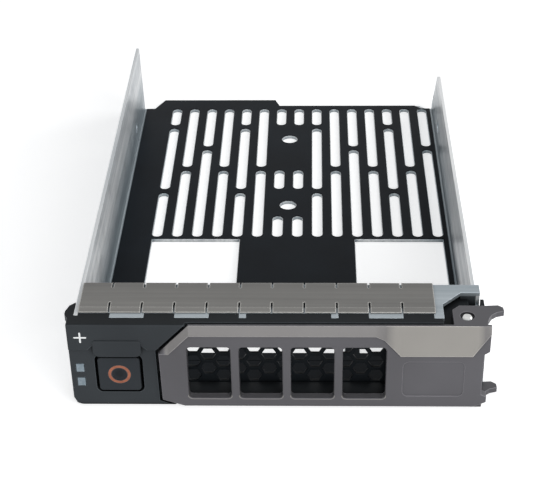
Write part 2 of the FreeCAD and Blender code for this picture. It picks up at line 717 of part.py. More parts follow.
def make_bezel():
    """Moulded front: tunnel for air, button housing at the left, pivot boss at the right."""
    body = new_body("bezel")
    side = "bezel_half_width"
    core_top = f"({DECK}-clearance)"
    # main wall behind the handle, full width, with a cut lower left corner
    grow_polygon(body, "core", "XZ", "bezel_face", "bezel_back-bezel_face", [
        (f"-{side}", "corner_cut"), (f"-{side}+0.8", "0.35*corner_cut"),
        (f"-{side}+corner_cut", "0"), ("claw_pocket_left-0.5", "0"),
        ("claw_pocket_left-0.5", f"{EAR_BOTTOM_TOP}+ear_gap"),
        (side, f"{EAR_BOTTOM_TOP}+ear_gap"), (side, f"{EAR_TOP_LOW}-ear_gap"),
        ("claw_pocket_left", f"{EAR_TOP_LOW}-ear_gap"), ("claw_pocket_left", core_top),
        (f"-{side}", core_top)])
    # front block at the left, its right edge parallel to the handle's end
    edge_x = "-handle_left-handle_gap"
    slope = f"(handle_left-handle_shoulder)/({HANDLE_TOP}-shoulder_height)"
    diag_top = f"-handle_left-handle_gap+(caddy_height-shoulder_height-0.3)*{slope}"
    block = [(f"-{side}", "corner_cut"), (f"-{side}+0.8", "0.35*corner_cut"),
             (f"-{side}+corner_cut", "0"), (f"{edge_x}+4.5", "0"), (f"{edge_x}+0.3", "1.7"),
             (edge_x, "shoulder_height+0.3"), (diag_top, "caddy_height"),
             (f"-{side}", "caddy_height")]
    grow_polygon(body, "front_block", "XZ", "lower_face", "bezel_face-lower_face", block)
    hood_left = f"-button_x-{WELL_HALF}"
    hood_right = f"-button_x+{WELL_HALF}"
    flare = "(hood_top-ledge_height)/2"
    grow_polygon(body, "upper_band", "XZ", "band_face", "lower_face-band_face", [
        (f"-{side}", "ledge_height"),
        (f"{hood_left}-{flare}", "ledge_height"),
        (hood_left, f"ledge_height+{flare}"),
        (hood_right, f"ledge_height+{flare}"),
        (f"{hood_right}+{flare}", "ledge_height"),
        (edge_x, "ledge_height"), (diag_top, "caddy_height"), (f"-{side}", "caddy_height")])
    hood_low = f"button_z+{WELL_TALL}"
    grow_polygon(body, "button_hood", "XZ", "hood_face", "lower_face-hood_face", [
        (hood_left, hood_low), (hood_right, hood_low), (hood_right, "hood_top-0.5"),
        (f"{hood_right}-0.5", "hood_top"), (f"{hood_left}+0.5", "hood_top"),
        (hood_left, "hood_top-0.5")])
    # top deck lip in front of the bridge, with recesses for the bridge's tabs
    grow_box(body, "deck_left", (f"-{side}", "lower_face", core_top),
             (diag_top, "bridge_front-clearance", "caddy_height"))
    grow_box(body, "deck_lip", (f"{diag_top}-1", "lip_front", core_top),
             ("claw_pocket_left-0.3", "bridge_front-clearance", "caddy_height"))
    half = "(bridge_tab_width/2+clearance)"
    keys = [(f"bridge_centre+({sign}{place})", half)
            for place in ("bridge_tab_inner", "bridge_tab_outer") for sign in "+-"]
    keys += [(f"bridge_centre+({sign}key_offset)", "(key_width/2+clearance)") for sign in "+-"]
    for i, (middle, width) in enumerate(keys):
        cut_box(body, f"tab_recess_{i + 1}",
                (f"{middle}-{width}", "bridge_front-bridge_tab_reach-clearance", core_top),
                (f"{middle}+{width}", "bridge_front", "caddy_height+1"))
    # housings behind the main wall, between the tray walls and under the bridge
    grow_box(body, "left_box", (f"-{BAY_HALF}+box_side_gap", "bezel_back-1", "sheet_thk+clearance"),
             ("-left_box_right", f"{BOX_REAR}-clearance", core_top))
    grow_box(body, "right_box", ("right_box_left", "bezel_back-1", f"{EAR_BOTTOM_TOP}+ear_gap"),
             (f"{BAY_HALF}-box_side_gap", f"{BRIDGE_REAR}-sheet_thk-0.3", f"{EAR_TOP_LOW}-ear_gap"))
    # cheeks outside the walls: a guide bump at the left, a thin fin at the right
    grow_polygon(body, "left_cheek", "XY", "corner_cut", f"caddy_height-corner_cut", [
        (f"-{side}", "bezel_face"), (f"-{OUTER_HALF}-clearance", "bezel_face"),
        (f"-{OUTER_HALF}-clearance", "bezel_back+0.8"), (f"-{side}", "bezel_back-0.6")])
    grow_polygon(body, "guide_bump", "XY", "caddy_height-bump_height", "bump_height", [
        (f"-{side}", "bezel_face+0.6"), (f"-{side}-bump_reach", "bezel_face+2.2"),
        (f"-{side}-bump_reach", "bezel_face+3.4"), (f"-{side}", "bezel_back-0.6"),
        (f"-{OUTER_HALF}-clearance", "bezel_back+0.8"), (f"-{OUTER_HALF}-clearance", "bezel_face+0.6")])
    grow_box(body, "right_fin", (f"{OUTER_HALF}+clearance", "bezel_back-1", f"{EAR_BOTTOM_TOP}+ear_gap"),
             (f"{OUTER_HALF}+clearance+0.9", "claw_pocket_rear", f"{EAR_TOP_LOW}-ear_gap"))
    # slot that takes the left wall, open to the rear and the top
    cut_box(body, "wall_slot", (f"-{OUTER_HALF}-clearance", "wall_slot_front", "0-1"),
            (f"-{BAY_HALF}+clearance", "bezel_back+2", "caddy_height+1"))
    # room for the handle's end to swing, then the pivot boss
    swing_rear = "(pivot_y+main_face+handle_thk)"
    cut_box(body, "swing_room", ("pivot_x", "0", "0-1"),
            (f"{side}+1", swing_rear, "caddy_height+1"))
    grow_round(body, "pivot_boss", "XY", f"{EAR_BOTTOM_TOP}+ear_gap",
               f"{EAR_TOP_LOW}-{EAR_BOTTOM_TOP}-2*ear_gap", "pivot_x", "pivot_y", "boss_dia/2")
    grow_box(body, "boss_web", ("pivot_x-boss_dia/2", "pivot_y", f"{EAR_BOTTOM_TOP}+ear_gap"),
             ("pivot_x+boss_dia/4", f"{swing_rear}+0.5", f"{EAR_TOP_LOW}-ear_gap"))
    coil_room = "coil_turns*handle_wire*1.15+1.4"
    cut_box(body, "coil_room", ("pivot_x-3.4", "0", "coil_low-0.7"),
            (f"{side}+1", "pivot_y+2.8", f"coil_low-0.7+{coil_room}"))
    cut_round(body, "pivot_bore", "XY", "0", "caddy_height", "pivot_x", "pivot_y", "pin_dia/2")
    # air tunnel and the seat of the grille
    cut_box(body, "air_tunnel", ("-tunnel_left", "0", "tunnel_bottom"),
            ("tunnel_right", "bezel_back+1", "tunnel_top"))
    cut_box(body, "grille_seat", ("-tunnel_left-grille_margin-clearance",
                                  "bezel_back-grille_thk-clearance", "tunnel_bottom-grille_margin"),
            ("tunnel_right+grille_margin+clearance", "bezel_back+1",
             "tunnel_top+grille_margin+clearance"))
    # button well, chamber, latch room and cover recess, one behind the other
    cut_box(body, "button_well", (f"-button_x-{WELL_HALF}", "0", f"button_z-{WELL_TALL}"),
            (f"-button_x+{WELL_HALF}", "chamber_front+1", f"button_z+{WELL_TALL}"))
    soften(body, "Fillet", "cap_radius+button_gap", lambda e: along(e, Y_AXIS)
           and near(abs(e.CenterOfMass.x + val("button_x")), val(WELL_HALF))
           and near(abs(e.CenterOfMass.z - val("button_z")), val(WELL_TALL)), "well_corners")
    cut_box(body, "button_chamber", (f"-button_x-{WELL_HALF}", "chamber_front", f"button_z-{RIM_HALF}"),
            (f"-button_x+{WELL_HALF}", "seat_front+1", f"button_z+{RIM_HALF}"))
    cut_box(body, "latch_room", (ROOM_LEFT, "seat_front", ROOM_LOW),
            (ROOM_RIGHT, f"{COVER_FRONT}+1", ROOM_HIGH))
    cut_box(body, "cover_recess", (f"{ROOM_LEFT}-cover_margin", COVER_FRONT, f"{ROOM_LOW}-cover_margin"),
            (f"{ROOM_RIGHT}+cover_margin", f"{BOX_REAR}+1", f"{ROOM_HIGH}+cover_margin"))
    lane_low = f"{LATCH_Z}-lane_gap"
    lane_high = f"{LATCH_Z}+latch_height+lane_gap"
    cut_box(body, "latch_lane", (f"-button_x+{WELL_HALF}-1", "hook_front-1", lane_low),
            (ROOM_RIGHT, "seat_front+1", lane_high))
    cut_box(body, "tongue_slot", (f"{TONGUE_LEFT}-tongue_lip-clearance", "0", lane_low),
            (ROOM_RIGHT, "hook_front", lane_high))
    cut_round(body, "latch_pin_seat", "XY", f"{ROOM_LOW}-latch_pin_seat",
              f"{ROOM_HIGH}-{ROOM_LOW}+2*latch_pin_seat", "-latch_x", "latch_y", "latch_pin_dia/2")
    # holes and the open side channel for the two light pipes
    for name, z in (("pipe_high", "pipe_high_z"), ("pipe_low", "pipe_low_z")):
        low = f"{z}-pipe_height/2-clearance"
        cut_box(body, name + "_hole", ("-pipe_x-pipe_width/2-clearance", "0", low),
                ("-pipe_x+pipe_width/2+clearance", "pipe_head_back+1.9", f"{low}+pipe_height+2*clearance"))
        cut_box(body, name + "_exit", (f"-{side}-2", "pipe_head_back-0.2", low),
                ("-pipe_x", "pipe_head_back+1.9", f"{low}+pipe_height+2*clearance"))
    cut_polygon(body, "pipe_channel", "YZ", f"-{side}-2", f"2+{side}-{OUTER_HALF}", [
        ("pipe_head_back+1.8", "pipe_low_z-pipe_height/2-0.3"),
        ("bezel_back+3", "pipe_low_z-pipe_height/2-0.3"),
        ("bezel_back+3", "pipe_high_run_z+pipe_height/2+0.3"),
        ("pipe_head_back+1.8", "pipe_high_z+pipe_height/2+0.3")])
    soften(body, "Fillet", "0.5", lambda e: along(e, X_AXIS) and near(e.CenterOfMass.z, val("caddy_height"))
           and near(e.CenterOfMass.y, val("band_face")), "top_edge")
    soften(body, "Fillet", "0.4", lambda e: along(e, Z_AXIS) and near(e.CenterOfMass.x, val("-" + side))
           and e.CenterOfMass.y < val("bezel_face") and e.CenterOfMass.z > val("ledge_height"),
           "left_edge")
    soften(body, "Fillet", "0.3", lambda e: e.BoundBox.YLength < 1e-4
           and near(e.CenterOfMass.y, val("hood_face")), "hood_edges")
    soften(body, "Fillet", "0.35", lambda e: along(e, X_AXIS) and near(e.CenterOfMass.z, val("ledge_height"))
           and near(e.CenterOfMass.y, val("band_face")), "ledge_edges")
    soften(body, "Fillet", "0.8", lambda e: along(e, X_AXIS) and near(e.CenterOfMass.z, 0)
           and near(e.CenterOfMass.y, val("lower_face")), "bottom_edge")
    return body


def hexagon(x, z, flats):
    """Corners of a flat-topped hexagon that measures `flats` between its top and bottom."""
    side = f"(({flats})/sqrt(3))"
    return [(f"{x}+{side}", z), (f"{x}+{side}/2", f"{z}+({flats})/2"),
            (f"{x}-{side}/2", f"{z}+({flats})/2"), (f"{x}-{side}", z),
            (f"{x}-{side}/2", f"{z}-({flats})/2"), (f"{x}+{side}/2", f"{z}-({flats})/2")]


def make_grille():
    """Honeycomb plate that shields the air tunnel."""
    body = new_body("vent_grille")
    front = "(bezel_back-grille_thk)"
    width = "(tunnel_left+tunnel_right)"
    height = "(tunnel_top-tunnel_bottom)"
    grow_box(body, "plate", ("-tunnel_left-grille_margin", front, "tunnel_bottom-grille_margin+clearance"),
             ("tunnel_right+grille_margin", "bezel_back", "tunnel_top+grille_margin"))
    flats = "(cell_pitch_z-cell_web)"
    columns = f"trunc(({width}+0.6*cell_pitch_x)/(2*cell_pitch_x))"
    rows = f"trunc(({height}+0.3*cell_pitch_z)/cell_pitch_z)"
    first_x = f"(-tunnel_left+0.5*cell_pitch_x)"
    first_z = f"(tunnel_bottom+0.5*cell_pitch_z-0.2)"
    for name, x, z, across, up in (
            ("cells", first_x, first_z, columns, rows),
            ("cells_between", f"{first_x}+cell_pitch_x", f"{first_z}+cell_pitch_z/2",
             columns, f"{rows}-1")):
        sketch = plane_sketch(body, name, "XZ", f"{front}-1")
        add_polygon(sketch, hexagon(x, z, flats))
        pattern(body, cut(body, sketch, "grille_thk+2"),
                [("H_Axis", "2*cell_pitch_x", across), ("V_Axis", "cell_pitch_z", up)])
    return body


# ---------------------------------------------------------------- handle and pivot

def facet_section(body, name, x, low, high):
    """One section of the bright facet band: its lower edge stands proud, its top leans back."""
    sketch = plane_sketch(body, name, "YZ", x)
    back = "(main_face+handle_thk)"
    add_polygon(sketch, [("0", low), (back, low), ("facet_top_face+facet_crest", high),
                         ("facet_top_face", high)])
    return sketch


def ear_outline():
    """Plan of a pivot ear with its claw, which hooks the chassis when the handle shuts."""
    tip = CLAW_TIP
    front = "main_face+handle_chamfer"
    return [("ear_left", front), ("ear_left", "ear_rear-1.8"), ("ear_left+1.9", "ear_rear"),
            (f"{tip}-4.2", "ear_rear"), (f"{tip}-1.2", "ear_rear+0.2"), (tip, "ear_rear-0.8"),
            (f"{tip}+0.1", "claw_front+0.1"), (f"{tip}-1.9", "claw_front-0.5"),
            (f"{tip}-3.2", "claw_front-1.6"), (f"{tip}-4.1", "claw_front-3.4"),
            (f"{tip}-4.6", f"{front}+0.2"), (f"{tip}-4.7", front)]


def make_handle():
    """Release handle: four air windows, a faceted upper band, two pivot ears and a latch tongue."""
    body = new_body("handle")
    left, right = "-handle_left", "handle_right"
    slope = f"((handle_left-handle_shoulder)/({HANDLE_TOP}-shoulder_height))"
    strip_low = f"({HANDLE_TOP}-facet_strip)"
    inner_left = f"(-handle_shoulder-({strip_low}-shoulder_height)*{slope})"
    # line where the plain face meets the foot of the facet band, from left to right
    facet_line = [
        (left, "shoulder_height"), (inner_left, "shoulder_height"),
        ("-handle_shoulder", strip_low), ("pivot_x-step_start", strip_low),
        ("pivot_x-step_bend", f"{strip_low}-step_bend_drop"), ("pivot_x-step_end", "facet_wide_low"),
        (f"{right}-facet_inset", "facet_wide_low"), (right, f"{strip_low}+facet_right_rise")]
    grow_polygon(body, "face", "XZ", "main_face", "handle_thk", [
        ("-handle_shoulder-2", "handle_bottom"), (f"{left}+0.3", "handle_bottom+2")] + facet_line + [
        (right, "notch_high+0.9"), (f"{right}-notch_depth", "notch_high"),
        (f"{right}-notch_depth", "notch_low"), (right, "notch_low-0.7"),
        (right, "handle_bottom+1.5"), (f"{right}-3", "handle_bottom")])
    soften(body, "Chamfer", "handle_chamfer", lambda e: e.BoundBox.YLength < 1e-4
           and near(e.CenterOfMass.y, val("main_face")) and e.BoundBox.ZMax < val("notch_low-1"),
           "lower_chamfer")
    tops = ["shoulder_height+facet_overlap",
            f"shoulder_height+(handle_left+{inner_left})/{slope}"] + [HANDLE_TOP] * 6
    stations = [(x, f"{z}-facet_overlap", top) for (x, z), top in zip(facet_line, tops)]
    stations[0] = (f"{left}+0.1",) + stations[0][1:]
    sections = [facet_section(body, f"facet_{i + 1}", *station) for i, station in enumerate(stations)]
    band = body.newObject("PartDesign::AdditiveLoft", "facet_band")
    band.Profile = sections[0]
    band.Sections = sections[1:]
    band.Ruled = True
    # windows
    window = plane_sketch(body, "window", "XZ", "0-1")
    add_rectangle(window, "-window_first", "window_low", "-window_first+window_width",
                  "window_low+window_height")
    pattern(body, cut(body, window, "main_face+handle_thk+2"),
            [("H_Axis", "window_pitch", "window_count")])
    soften(body, "Fillet", "window_radius", lambda e: along(e, Y_AXIS)
           and (near(e.CenterOfMass.z, val("window_low"))
                or near(e.CenterOfMass.z, val("window_low+window_height"))), "window_corners")
    soften(body, "Fillet", "sill_radius", lambda e: e.BoundBox.YLength < 1e-4
           and near(e.CenterOfMass.y, val("main_face"))
           and val("window_low") - 0.01 < e.CenterOfMass.z < val("window_low+window_height") + 0.01
           and e.CenterOfMass.x < val("label_left") - 1 and e.BoundBox.XMin > val(left) + 5,
           "sill_edges")
    # shallow bare label recess
    cut_box(body, "label_recess", ("label_left", "0", "label_low"),
            ("label_left+label_width", "main_face+label_depth", "label_low+label_height"))
    soften(body, "Fillet", "label_radius", lambda e: along(e, Y_AXIS)
           and near(e.Length, val("label_depth")), "label_corners")
    # ears, with the pin's bore and a recess for its head
    for name, low in (("upper_ear", EAR_TOP_LOW), ("lower_ear", "handle_bottom")):
        grow_polygon(body, name, "XY", low, "ear_thk", ear_outline())
    cut_round(body, "pin_bore", "XY", "0", "caddy_height", "pivot_x", "pivot_y",
              "pin_dia/2+running_gap")
    cut_round(body, "head_recess", "XY", f"{HANDLE_TOP}-head_recess", "head_recess+1",
              "pivot_x", "pivot_y", "head_dia/2+0.45")
    # tongue behind the left end, with the lip that the latch holds
    grow_box(body, "tongue", (TONGUE_LEFT, "main_face+handle_thk/2", LATCH_Z),
             (f"{TONGUE_LEFT}+tongue_thk", "hook_back+tongue_gap+tongue_lip", f"{LATCH_Z}+latch_height"))
    grow_polygon(body, "tongue_lip", "XY", LATCH_Z, "latch_height", [
        (TONGUE_LEFT + "+0.2", "hook_back+tongue_gap"),
        (f"{TONGUE_LEFT}-tongue_lip+0.25", "hook_back+tongue_gap"),
        (f"{TONGUE_LEFT}-tongue_lip+0.25", "hook_back+tongue_gap+0.4"),
        (TONGUE_LEFT + "+0.2", "hook_back+tongue_gap+tongue_lip")])
    return body


def make_pivot_pin():
    """Pin of the handle, pressed into the bezel's boss, with a domed head in the upper ear."""
    body = new_body("pivot_pin")
    sketch = plane_sketch(body, "half_section", "XZ", "pivot_y")
    seat = f"({HANDLE_TOP}-head_recess+0.1)"
    add_polygon(sketch, [
        ("pivot_x", "handle_bottom+0.1"), ("pivot_x+pin_dia/2-0.2", "handle_bottom+0.1"),
        ("pivot_x+pin_dia/2", "handle_bottom+0.3"), ("pivot_x+pin_dia/2", seat),
        ("pivot_x+head_dia/2", seat), ("pivot_x+head_dia/2", f"{seat}+0.25"),
        ("pivot_x+0.36*head_dia", f"{seat}+0.6"), ("pivot_x+0.2*head_dia", f"{seat}+0.75"),
        ("pivot_x", f"{seat}+0.8")])
    axis = sketch.addGeometry(Part.LineSegment(V(val("pivot_x"), 0, 0), V(val("pivot_x"), 1, 0)), True)
    bind_point(sketch, axis, 1, "pivot_x", "0")
    bind_point(sketch, axis, 2, "pivot_x", "1")
    turned = body.newObject("PartDesign::Revolution", "turned")
    turned.Profile = sketch
    turned.ReferenceAxis = (sketch, ["Axis0"])
    turned.Angle = 360
    return body


def helical_spring(label, centre, rotation, radius, wire, turns, pitch, legs=(0, 0)):
    """A coil spring: a wire swept along a helix, with a straight leg of each given length."""
    coil = Part.makeHelix(pitch, pitch * turns, radius)
    start = coil.Vertexes[0].Point if coil.Vertexes[0].Point.z < pitch / 2 else coil.Vertexes[-1].Point
    profile = Part.Wire(Part.makeCircle(wire / 2, start, V(0, 1, pitch / (2 * math.pi * radius))))
    pipe = Part.BRepOffsetAPI.MakePipeShell(Part.Wire(coil.Edges))
    pipe.setFrenetMode(True)
    pipe.add(profile)
    pipe.build()
    pipe.makeSolid()
    solid = pipe.shape()
    ends = ((V(radius, 0, 0), V(0, -1, 0)), (V(radius, 0, pitch * turns), V(0, 1, 0)))
    for (foot, direction), length in zip(ends, legs):
        if length:
            wire_end = min(solid.Faces, key=lambda face: face.CenterOfMass.distanceToPoint(foot))
            solid = solid.fuse(wire_end.extrude(direction * length))
    spring = doc.addObject("Part::Feature", label)
    spring.Label = label
    spring.Shape = solid
    spring.Placement = FreeCAD.Placement(centre, rotation)
    return spring


def make_handle_spring():
    """Torsion spring round the pin that throws the handle open."""
    wire, turns = val("handle_wire"), val("coil_turns")
    radius = val("pin_dia/2") + 0.15 + wire / 2
    pitch = wire * 1.15
    rear_leg = 2.6
    front_leg = val("pivot_y-main_face-handle_thk") - 0.3
    return helical_spring("handle_spring", V(val("pivot_x"), val("pivot_y"), val("coil_low")),
                          FreeCAD.Rotation(Z_AXIS, 180), radius, wire, turns, pitch,
                          (rear_leg, front_leg))


# ---------------------------------------------------------------- button and latch

def make_button():
    """Push button with a rim that keeps it in its well and a stem that drives the latch."""
    body = new_body("release_button")
    x, z = "-button_x", "button_z"
    wide, tall = "button_width/2", "button_height/2"
    grow_box(body, "cap", (f"{x}-{wide}", BUTTON_FACE, f"{z}-{tall}"),
             (f"{x}+{wide}", "button_back", f"{z}+{tall}"))
    soften(body, "Fillet", "cap_radius", lambda e: along(e, Y_AXIS), "cap_corners")
    soften(body, "Fillet", "0.35", lambda e: near(e.CenterOfMass.y, val(BUTTON_FACE))
           and e.BoundBox.YLength < 1e-4, "cap_edge")
    grow_box(body, "rim", (f"{x}-{wide}", "chamber_front+0.1", f"{z}-{tall}-button_rim"),
             (f"{x}+{wide}", "button_back", f"{z}+{tall}+button_rim"))
    grow_round(body, "stem", "XZ", "button_back-0.5", "latch_y-latch_arm/2-0.3-button_back+0.5",
               x, z, "stem_dia/2")
    soften(body, "Fillet", "0.45*stem_dia", lambda e: e.Curve.TypeId == "Part::GeomCircle"
           and near(e.CenterOfMass.y, val("latch_y-latch_arm/2-0.3")), "stem_dome")
    groove = plane_sketch(body, "ring_groove", "XZ", f"{BUTTON_FACE}-0.5")
    add_circle(groove, x, z, "ring_dia/2")
    add_circle(groove, x, z, "ring_dia/2-ring_stroke")
    cut(body, groove, "ring_depth+0.5")
    cut_round(body, "finger_dimple", "XZ", f"{BUTTON_FACE}-0.5", "0.7", x, z, "ring_dia/2-1.3*ring_stroke")
    return body


def make_ring():
    """Coloured ring set flush into the button's face."""
    body = new_body("button_ring")
    sketch = plane_sketch(body, "ring", "XZ", BUTTON_FACE)
    add_circle(sketch, "-button_x", "button_z", "ring_dia/2")
    add_circle(sketch, "-button_x", "button_z", "ring_dia/2-ring_stroke")
    grow(body, sketch, "ring_depth")
    return body


def make_spring_seat():
    """Plate that guides the button's stem and backs its spring."""
    body = new_body("spring_seat")
    sketch = plane_sketch(body, "plate", "XZ", "seat_front")
    add_rectangle(sketch, f"{ROOM_LEFT}+clearance", f"{ROOM_LOW}+clearance",
                  f"-button_x+{WELL_HALF}-1", f"{ROOM_HIGH}-clearance")
    add_circle(sketch, "-button_x", "button_z", "stem_dia/2+0.2")
    grow(body, sketch, "seat_thk")
    return body


def make_button_spring():
    """Compression spring that returns the button."""
    wire, turns = val("button_wire"), val("button_coil_turns")
    gap = 0.1
    room = val("seat_front-button_back") - wire - 2 * gap
    centre = V(-val("button_x"), val("button_back") + wire / 2 + gap, val("button_z"))
    return helical_spring("button_spring", centre, FreeCAD.Rotation(Z_AXIS, Y_AXIS),
                          val("button_coil_dia/2"), wire, turns, room / turns)


def make_latch():
    """Bell crank: the button's stem pushes its arm, and its hook swings clear of the tongue."""
    body = new_body("latch_lever")
    x, y = "-latch_x", "latch_y"
    arm_tip = "-button_x-stem_dia/2"
    grow_box(body, "arm", (arm_tip, f"{y}-latch_arm/2", LATCH_Z),
             (x, f"{y}+latch_arm/2", f"{LATCH_Z}+latch_height"))
    hook_left = f"{x}-latch_hook_arm/2"
    hook_right = f"{x}+latch_hook_arm/2"
    grow_polygon(body, "hook", "XY", LATCH_Z, "latch_height", [
        (hook_left, y), (hook_left, "hook_front"), (hook_right, "hook_front"),
        (f"{x}+hook_reach", "hook_back-0.5"), (f"{x}+hook_reach", "hook_back"),
        (hook_right, "hook_back"), (hook_right, y)])
    hub_low = f"({ROOM_LOW}+hub_gap)"
    grow_round(body, "hub", "XY", hub_low, f"{LATCH_Z}+latch_height-{hub_low}", x, y, "latch_hub_dia/2")
    cut_round(body, "bore", "XY", f"{hub_low}-1", "latch_height+12", x, y,
              "latch_pin_dia/2+running_gap")
    return body


def make_latch_pin():
    """Pin that carries the latch lever, seated in the bezel above and below it."""
    pin = doc.addObject("Part::Cylinder", "latch_pin")
    pin.setExpression("Radius", ex("latch_pin_dia/2"))
    pin.setExpression("Height", ex(f"{ROOM_HIGH}-{ROOM_LOW}+2*latch_pin_seat"))
    pin.setExpression("Placement.Base.x", ex("-latch_x"))
    pin.setExpression("Placement.Base.y", ex("latch_y"))
    pin.setExpression("Placement.Base.z", ex(f"{ROOM_LOW}-latch_pin_seat"))
    pin.Label = "latch_pin"
    return pin


def make_latch_spring():
    """Torsion spring above the lever that keeps the hook behind the tongue's lip."""
    wire = val("latch_wire")
    turns = 3
    radius = val("latch_pin_dia/2") + 0.15 + wire / 2
    pitch = wire * 1.2
    low = val(f"{LATCH_Z}+latch_height") + wire / 2 + 0.15
    return helical_spring("latch_spring", V(-val("latch_x"), val("latch_y"), low),
                          FreeCAD.Rotation(), radius, wire, turns, pitch, (3.5, 2.6))


def make_cover():
    """Plate that closes the latch room from the rear."""
    body = new_body("latch_cover")
    edge = "(cover_margin-clearance)"
    grow_box(body, "plate", (f"{ROOM_LEFT}-{edge}", f"{COVER_FRONT}+0.05", f"{ROOM_LOW}-{edge}"),
             (f"{ROOM_RIGHT}+{edge}", f"{BOX_REAR}-clearance", f"{ROOM_HIGH}+{edge}"))
    return body


# ---------------------------------------------------------------- light pipes

def make_light_pipe(label, z, run_z):
    """Clear bar from a lens in the bezel's face to the rear, along the outside of the left wall."""
    body = new_body(label)
    tall = "pipe_height/2"
    outside = f"(-{OUTER_HALF}-pipe_strip_thk)"
    grow_box(body, "lens", ("-pipe_x-pipe_width/2", "lower_face-lens_proud", f"{z}-{tall}"),
             ("-pipe_x+pipe_width/2", "pipe_head_back", f"{z}+{tall}"))
    grow_polygon(body, "elbow", "XY", f"{z}-{tall}", "pipe_height", [
        ("-pipe_x-pipe_width/2", "pipe_head_back-0.5"), ("-pipe_x+pipe_width/2", "pipe_head_back-0.5"),
        ("-pipe_x+pipe_width/2", "pipe_head_back"), (f"-{OUTER_HALF}", "pipe_head_back+1.6"),
        (f"-{OUTER_HALF}", "pipe_head_back+2.4"), (outside, "pipe_head_back+2.4"),
        (outside, "pipe_head_back+1.2")])
    grow_polygon(body, "run", "YZ", outside, "pipe_strip_thk", [
        ("pipe_head_back+1.6", f"{z}-{tall}"), ("pipe_head_back+2.4", f"{z}-{tall}"),
        ("bezel_back+4", f"{run_z}-{tall}"), ("pipe_rear", f"{run_z}-{tall}"),
        ("pipe_rear", f"{run_z}+{tall}"), ("bezel_back+4", f"{run_z}+{tall}"),
        ("pipe_head_back+2.4", f"{z}+{tall}"), ("pipe_head_back+1.6", f"{z}+{tall}")])
    return body


# ---------------------------------------------------------------- build and write

def main():
    """Builds every sub-part, checks it and writes it under its own name."""
    nodes = [
        make_tray(), make_film(), make_front_film(), make_bridge(), make_rivets(), make_gasket(),
        make_bezel(), make_grille(), make_handle(), make_pivot_pin(), make_handle_spring(),
        make_button(), make_ring(), make_button_spring(), make_spring_seat(),
        make_latch(), make_latch_pin(), make_latch_spring(), make_cover(),
        make_light_pipe("light_pipe_activity", "pipe_high_z", "pipe_high_run_z"),
        make_light_pipe("light_pipe_status", "pipe_low_z", "pipe_low_run_z"),
    ]
    doc.recompute()
    for item in doc.Objects:
        if "Invalid" in item.State or "Error" in item.State:
            raise RuntimeError(f"{item.Name} did not compute: {item.State}")
    os.makedirs("parts", exist_ok=True)
    for node in nodes:
        shape = node.Shape
        if shape.isNull() or not shape.isValid():
            raise RuntimeError(f"{node.Label} has no valid shape")
        shape.exportStep(f"parts/{node.Label}.step")
        box = shape.BoundBox
        print(f"{node.Label:22s} solids {len(shape.Solids)} faces {len(shape.Faces):4d} "
              f"volume {shape.Volume:9.1f}  X {box.XMin:7.2f} {box.XMax:7.2f}  "
              f"Y {box.YMin:7.2f} {box.YMax:7.2f}  Z {box.ZMin:6.2f} {box.ZMax:6.2f}")


main()
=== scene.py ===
"""Looks of a hot swap drive caddy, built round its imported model."""
import math

import bmesh
import bpy
from mathutils import Matrix, Vector


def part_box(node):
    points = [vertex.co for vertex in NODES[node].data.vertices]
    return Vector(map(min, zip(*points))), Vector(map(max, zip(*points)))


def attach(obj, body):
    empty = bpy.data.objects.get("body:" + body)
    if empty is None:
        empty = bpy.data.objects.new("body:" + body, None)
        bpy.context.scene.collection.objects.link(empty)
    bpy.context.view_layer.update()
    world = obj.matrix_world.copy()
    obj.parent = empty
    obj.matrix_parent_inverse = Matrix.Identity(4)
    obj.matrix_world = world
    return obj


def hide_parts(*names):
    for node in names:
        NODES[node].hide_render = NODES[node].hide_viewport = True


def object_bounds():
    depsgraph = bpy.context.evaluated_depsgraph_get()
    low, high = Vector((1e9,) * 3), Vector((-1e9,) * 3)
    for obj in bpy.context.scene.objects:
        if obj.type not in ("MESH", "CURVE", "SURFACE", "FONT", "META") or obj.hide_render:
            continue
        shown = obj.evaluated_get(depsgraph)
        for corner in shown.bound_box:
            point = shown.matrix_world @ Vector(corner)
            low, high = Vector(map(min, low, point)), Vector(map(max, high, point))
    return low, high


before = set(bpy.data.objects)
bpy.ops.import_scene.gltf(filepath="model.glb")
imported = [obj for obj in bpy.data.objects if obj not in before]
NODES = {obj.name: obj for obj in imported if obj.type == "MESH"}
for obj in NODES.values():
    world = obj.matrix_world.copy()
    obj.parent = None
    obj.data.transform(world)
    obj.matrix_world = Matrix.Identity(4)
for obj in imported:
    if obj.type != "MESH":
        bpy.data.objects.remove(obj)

CAD_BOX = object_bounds()
LOW, HIGH = (Vector(corner) for corner in CAD_BOX)
CENTRE = (LOW + HIGH) / 2
SPAN = HIGH - LOW
SIZE = SPAN.length
MM = 0.001
X, Y = 0, 1  # axes that sheet is rolled along


def srgb(text):
    """Linear colour of a six-digit hex code."""
    channels = [int(text[i:i + 2], 16) / 255 for i in (0, 2, 4)]
    linear = [c / 12.92 if c <= 0.04045 else ((c + 0.055) / 1.055) ** 2.4 for c in channels]
    return (*linear, 1.0)


def grey(level):
    """Linear grey."""
    return (level, level, level, 1.0)


# ---------------------------------------------------------------- node trees

